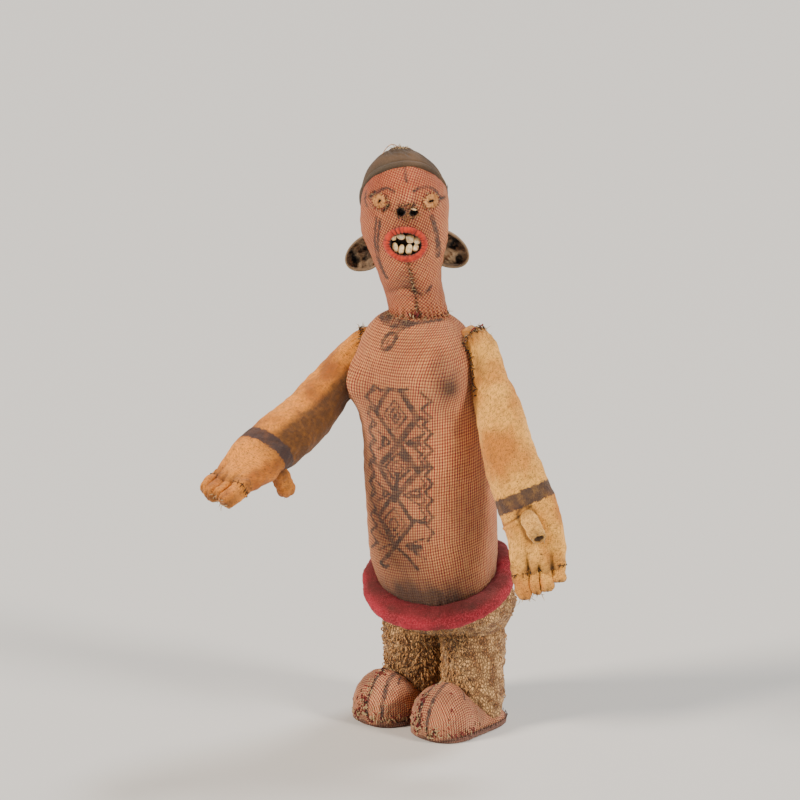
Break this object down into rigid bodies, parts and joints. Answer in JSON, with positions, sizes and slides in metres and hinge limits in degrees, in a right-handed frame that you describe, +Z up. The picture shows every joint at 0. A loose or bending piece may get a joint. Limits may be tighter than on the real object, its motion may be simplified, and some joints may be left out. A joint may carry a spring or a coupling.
{
  "type": "reliquary figure",
  "caption": "Standing sewn and stuffed cloth reliquary figure with patch eyes, open toothed mouth, a crimson hip roll and one arm held forward.",
  "frame": {"origin": "on the floor, under the middle of the figure's overall box", "axes": "+Z up; the figure's body faces -Y and its own left side is +X; the head is turned about 30 degrees to its left"},
  "size_m": [0.2878, 0.2791, 0.5579],
  "materials": {
    "check_cloth": "woven red and cream check, matte",
    "tan_cotton": "plain woven, matte",
    "looped_cotton": "nubby looped pile, matte",
    "crimson_wool": "felted, matte",
    "cap_cloth": "fine weave, matte",
    "ear_cloth": "stiffened dark cloth, matte",
    "lip_cloth": "padded, matte",
    "tooth_shell": "polished ivory-coloured shell"
  },
  "bodies": {
    "root": {"arm_left": "tan_cotton", "arm_right": "tan_cotton", "cap": "cap_cloth", "ear_left": "ear_cloth", "ear_right": "ear_cloth", "eye_left": "tan_cotton", "eye_right": "tan_cotton", "finger_left_1": "tan_cotton", "finger_left_2": "tan_cotton", "finger_left_3": "tan_cotton", "finger_left_4": "tan_cotton", "finger_right_1": "tan_cotton", "finger_right_2": "tan_cotton", "finger_right_3": "tan_cotton", "finger_right_4": "tan_cotton", "foot_left": "check_cloth", "foot_right": "check_cloth", "head": "check_cloth", "hip_roll": "crimson_wool", "legs": "looped_cotton", "lips": "lip_cloth", "sole_left": "check_cloth", "sole_right": "check_cloth", "thumb_left": "tan_cotton", "thumb_right": "tan_cotton", "tooth_lower_1": "tooth_shell", "tooth_lower_2": "tooth_shell", "tooth_lower_3": "tooth_shell", "tooth_lower_4": "tooth_shell", "tooth_upper_1": "tooth_shell", "tooth_upper_2": "tooth_shell", "tooth_upper_3": "tooth_shell", "tooth_upper_4": "tooth_shell", "torso": "check_cloth"}
  },
  "joints": []
}
